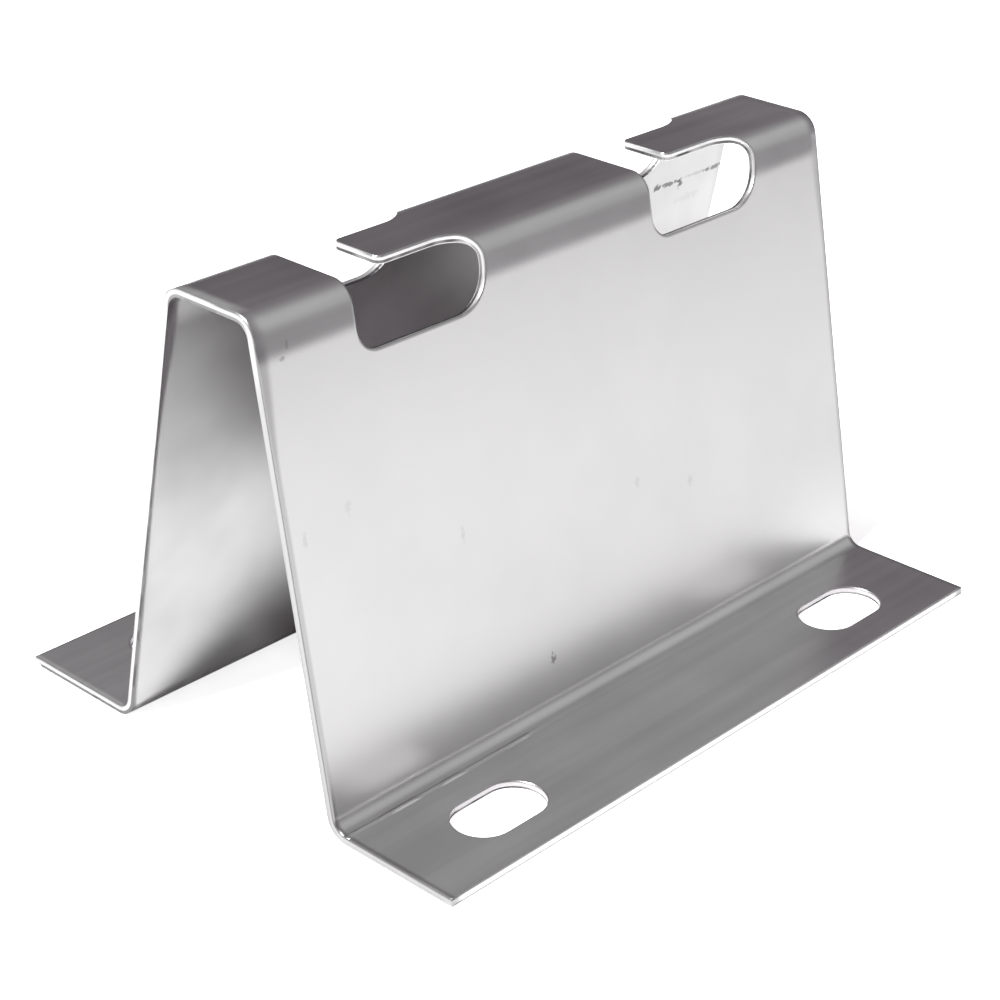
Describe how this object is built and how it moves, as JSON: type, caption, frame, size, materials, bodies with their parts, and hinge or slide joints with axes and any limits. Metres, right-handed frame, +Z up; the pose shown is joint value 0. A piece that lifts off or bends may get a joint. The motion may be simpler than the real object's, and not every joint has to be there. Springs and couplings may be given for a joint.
{
  "type": "rack bracket",
  "caption": "Hat-section bracket folded from stainless sheet, with hook notches across its crown for the wires of a mesh rack and obround bolt slots in both feet.",
  "frame": {"origin": "under the middle of the bracket, on the plane that its feet stand on", "axes": "+X along the folds, towards the closed ends of the hook slots; +Y across the folds; +Z up from the feet to the crown"},
  "size_m": [0.098, 0.0734, 0.06],
  "materials": {
    "stainless_sheet": "smooth cold-rolled stainless sheet with soft, blurred reflections and faint handling marks"
  },
  "bodies": {
    "root": {"bracket": "stainless_sheet"}
  },
  "joints": []
}
